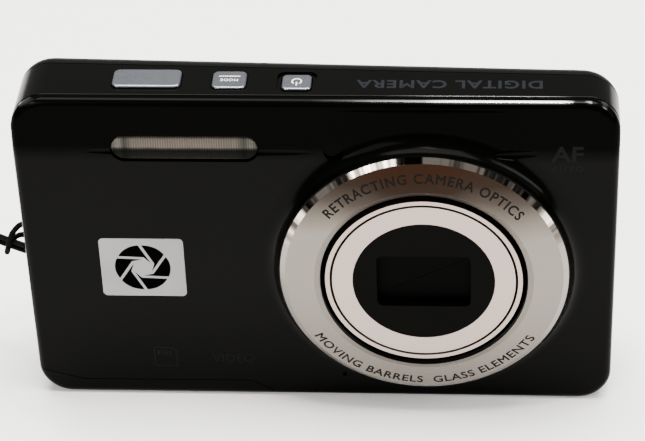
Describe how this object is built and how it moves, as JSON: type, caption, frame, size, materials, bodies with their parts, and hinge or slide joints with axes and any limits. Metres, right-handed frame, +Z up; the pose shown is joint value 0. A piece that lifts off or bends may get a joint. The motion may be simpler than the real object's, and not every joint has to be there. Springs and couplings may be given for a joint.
{
  "type": "compact digital camera",
  "caption": "Slim compact digital camera with a retracting zoom lens behind barrier blades, built-in flash, rear screen and keys, and a wrist strap.",
  "frame": {"origin": "centre of the camera's bounding box at its flat base, without the strap", "axes": "+X to the right seen from the front, along the camera's length; -Y out of the lens; +Z up"},
  "size_m": [0.1512, 0.023, 0.0564],
  "materials": {
    "front_black": "satin-gloss moulded black",
    "band_black": "polished black",
    "rear_black": "fine matt grain",
    "door_black": "satin-gloss black",
    "key_silver": "silver-painted moulding with polished edge",
    "ring_silver": "satin turned ring with polished bevel",
    "barrel_silver": "satin anodised",
    "cap_black": "satin black",
    "blade_black": "satin black",
    "inner_black": "matt black",
    "inner_grey": "plain moulding",
    "gear_white": "unfilled acetal",
    "steel": "brushed",
    "plated": "bright plating",
    "brass": "plain",
    "board_green": "solder mask",
    "cell_grey": "shrink sleeve",
    "card_black": "plain",
    "optic": "coated optical glass",
    "clear_window": "clear moulded window",
    "screen_cover": "hard-coated clear over black",
    "panel": "display panel",
    "badge_grey": "light grey printed label",
    "strap_black": "braided nylon",
    "grip_rubber": "moulded sleeve",
    "sleeve_black": "plastic sleeve"
  },
  "bodies": {
    "camera": {"front_cover": "front_black", "middle_band": "band_black", "rear_cover": "rear_black", "battery": "cell_grey", "battery_bay": "inner_grey", "memory_card": "card_black", "card_slot": "steel", "main_board": "board_green", "chassis": "steel", "tripod_socket": "brass", "flash_window": "clear_window", "flash_unit": "plated", "flash_capacitor": "sleeve_black", "focus_lamp_window": "clear_window", "badge": "badge_grey", "lens_ring": "ring_silver", "lens_base": "inner_black", "image_sensor": "steel", "display_bracket": "steel", "display_panel": "panel", "display_window": "screen_cover", "top_key_board": "board_green", "rear_key_board": "board_green", "usb_socket": "plated", "speaker": "steel", "strap_bar": "plated", "body_screws": "plated", "strap_cord": "strap_black", "strap_ferrule": "grip_rubber", "strap_loop": "strap_black", "zoom_motor": "steel", "focus_motor": "steel"},
    "outer_lens_tube": {"outer_barrel": "barrel_silver"},
    "inner_lens_tube": {"inner_barrel": "barrel_silver", "barrel_cap": "cap_black", "front_lens_cell": "inner_black", "front_lens": "optic", "shutter_unit": "inner_black"},
    "upper_blade": {"barrier_blade_upper": "blade_black"},
    "lower_blade": {"barrier_blade_lower": "blade_black"},
    "focus_group": {"focus_frame": "inner_black", "focus_lens": "optic"},
    "focus_drive": {"focus_screw": "steel"},
    "cam": {"cam_ring": "inner_black"},
    "idler": {"idler_gear": "gear_white"},
    "pinion": {"motor_pinion": "brass"},
    "door_slide_pin": {"battery_door_pin": "steel"},
    "door": {"battery_door": "door_black"},
    "latch": {"battery_latch": "inner_grey"},
    "port_cover": {"usb_cover": "grip_rubber"},
    "shutter_key": {"shutter_button": "key_silver"},
    "mode_key": {"mode_button": "key_silver"},
    "power_key": {"power_button": "key_silver"},
    "record_key": {"record_button": "key_silver"},
    "playback_key": {"playback_button": "key_silver"},
    "menu_key": {"menu_button": "key_silver"},
    "delete_key": {"delete_button": "key_silver"},
    "pad": {"four_way_pad": "key_silver"},
    "set_key": {"set_button": "key_silver"},
    "rocker": {"zoom_rocker": "key_silver"}
  },
  "joints": [
    {"name": "lens_extend", "type": "slide", "parent": "camera", "child": "outer_lens_tube", "axis": [0, -1, 0], "range_m": [0, 0.009]},
    {"name": "inner_extend", "type": "slide", "parent": "outer_lens_tube", "child": "inner_lens_tube", "axis": [0, -1, 0], "range_m": [0, 0.008]},
    {"name": "cam_turn", "type": "hinge", "parent": "camera", "child": "cam", "pos_m": [0.01645, 0, 0.0268], "axis": [0, 1, 0], "range_deg": [0, 75]},
    {"name": "idler_turn", "type": "hinge", "parent": "camera", "child": "idler", "pos_m": [0.03271, 0.004, 0.01054], "axis": [0, 1, 0], "range_deg": [-270, 0]},
    {"name": "pinion_turn", "type": "hinge", "parent": "camera", "child": "pinion", "pos_m": [0.03985, 0.004, 0.00822], "axis": [0, 1, 0], "range_deg": [0, 540]},
    {"name": "upper_blade_turn", "type": "hinge", "parent": "inner_lens_tube", "child": "upper_blade", "pos_m": [0.02679, -0.0096, 0.02498], "axis": [0, 1, 0], "range_deg": [0, 28]},
    {"name": "lower_blade_turn", "type": "hinge", "parent": "inner_lens_tube", "child": "lower_blade", "pos_m": [0.00611, -0.0096, 0.02862], "axis": [0, 1, 0], "range_deg": [0, 28]},
    {"name": "focus_slide", "type": "slide", "parent": "camera", "child": "focus_group", "axis": [0, -1, 0], "range_m": [0, 0.0016]},
    {"name": "focus_screw_turn", "type": "hinge", "parent": "camera", "child": "focus_drive", "pos_m": [0.01645, 0.001, 0.036], "axis": [0, 1, 0], "range_deg": [0, 1152]},
    {"name": "door_slide", "type": "slide", "parent": "camera", "child": "door_slide_pin", "axis": [-1, 0, 0], "range_m": [0, 0.0025]},
    {"name": "door_hinge", "type": "hinge", "parent": "door_slide_pin", "child": "door", "pos_m": [-0.027, 0.0051, 0.0015], "axis": [1, 0, 0], "range_deg": [0, 90]},
    {"name": "latch_slide", "type": "slide", "parent": "camera", "child": "latch", "axis": [1, 0, 0], "range_m": [0, 0.0014], "stiffness_N_per_m": 150},
    {"name": "port_cover_hinge", "type": "hinge", "parent": "camera", "child": "port_cover", "pos_m": [0.04535, 0.00045, 0.021], "axis": [0, 0, 1], "range_deg": [0, 95]},
    {"name": "shutter_press", "type": "slide", "parent": "camera", "child": "shutter_key", "axis": [0, 0, -1], "range_m": [0, 0.0009], "stiffness_N_per_m": 500},
    {"name": "mode_press", "type": "slide", "parent": "camera", "child": "mode_key", "axis": [0, 0, -1], "range_m": [0, 0.0003], "stiffness_N_per_m": 300},
    {"name": "power_press", "type": "slide", "parent": "camera", "child": "power_key", "axis": [0, 0, -1], "range_m": [0, 0.0003], "stiffness_N_per_m": 300},
    {"name": "record_press", "type": "slide", "parent": "camera", "child": "record_key", "axis": [0, -1, 0], "range_m": [0, 0.00025], "stiffness_N_per_m": 300},
    {"name": "playback_press", "type": "slide", "parent": "camera", "child": "playback_key", "axis": [0, -1, 0], "range_m": [0, 0.00025], "stiffness_N_per_m": 300},
    {"name": "menu_press", "type": "slide", "parent": "camera", "child": "menu_key", "axis": [0, -1, 0], "range_m": [0, 0.00025], "stiffness_N_per_m": 300},
    {"name": "delete_press", "type": "slide", "parent": "camera", "child": "delete_key", "axis": [0, -1, 0], "range_m": [0, 0.00025], "stiffness_N_per_m": 300},
    {"name": "set_press", "type": "slide", "parent": "camera", "child": "set_key", "axis": [0, -1, 0], "range_m": [0, 0.00025], "stiffness_N_per_m": 300},
    {"name": "pad_tilt", "type": "hinge", "parent": "camera", "child": "pad", "pos_m": [-0.0303, 0.00915, 0.0235], "axis": [1, 0, 0], "range_deg": [-2, 2], "stiffness_Nm_per_rad": 0.05},
    {"name": "rocker_tilt", "type": "hinge", "parent": "camera", "child": "rocker", "pos_m": [-0.0303, 0.0104, 0.0454], "axis": [0, 0, 1], "range_deg": [-4, 4], "stiffness_Nm_per_rad": 0.05}
  ],
  "couplings": [
    {"joint": "inner_extend", "follows": "lens_extend", "ratio": 0.88889},
    {"joint": "cam_turn", "follows": "lens_extend", "rad_per_m": 145.44},
    {"joint": "idler_turn", "follows": "lens_extend", "rad_per_m": -523.6},
    {"joint": "pinion_turn", "follows": "lens_extend", "rad_per_m": 1047.2},
    {"joint": "upper_blade_turn", "follows": "lens_extend", "rad_per_m": 54.299},
    {"joint": "lower_blade_turn", "follows": "lens_extend", "rad_per_m": 54.299},
    {"joint": "focus_screw_turn", "follows": "focus_slide", "rad_per_m": 12566}
  ]
}
